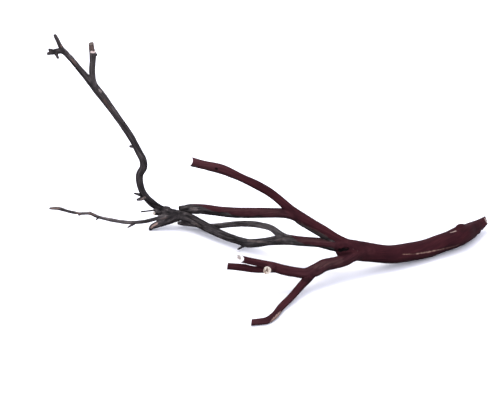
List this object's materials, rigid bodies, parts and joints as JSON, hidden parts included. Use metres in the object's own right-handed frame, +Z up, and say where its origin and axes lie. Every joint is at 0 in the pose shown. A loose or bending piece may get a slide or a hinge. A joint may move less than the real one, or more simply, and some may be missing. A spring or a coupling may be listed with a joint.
{
  "type": "piece of driftwood",
  "caption": "Forked dead branch, worn smooth, with a thick curved trunk, red and grey limbs, sawn twig ends and one tall crooked stem; it rests on three low points.",
  "frame": {"origin": "on the flat spot under the thick trunk, on the surface that the branch rests on", "axes": "+Z up; +X along the branch towards the trunk's broken butt end; +Y towards its back, away from the front twig"},
  "size_m": [0.7845, 0.3658, 0.3615],
  "materials": {
    "weathered_wood": "smooth dark red bark with dull grey weathered dead wood"
  },
  "bodies": {
    "root": {"driftwood": "weathered_wood"}
  },
  "joints": []
}
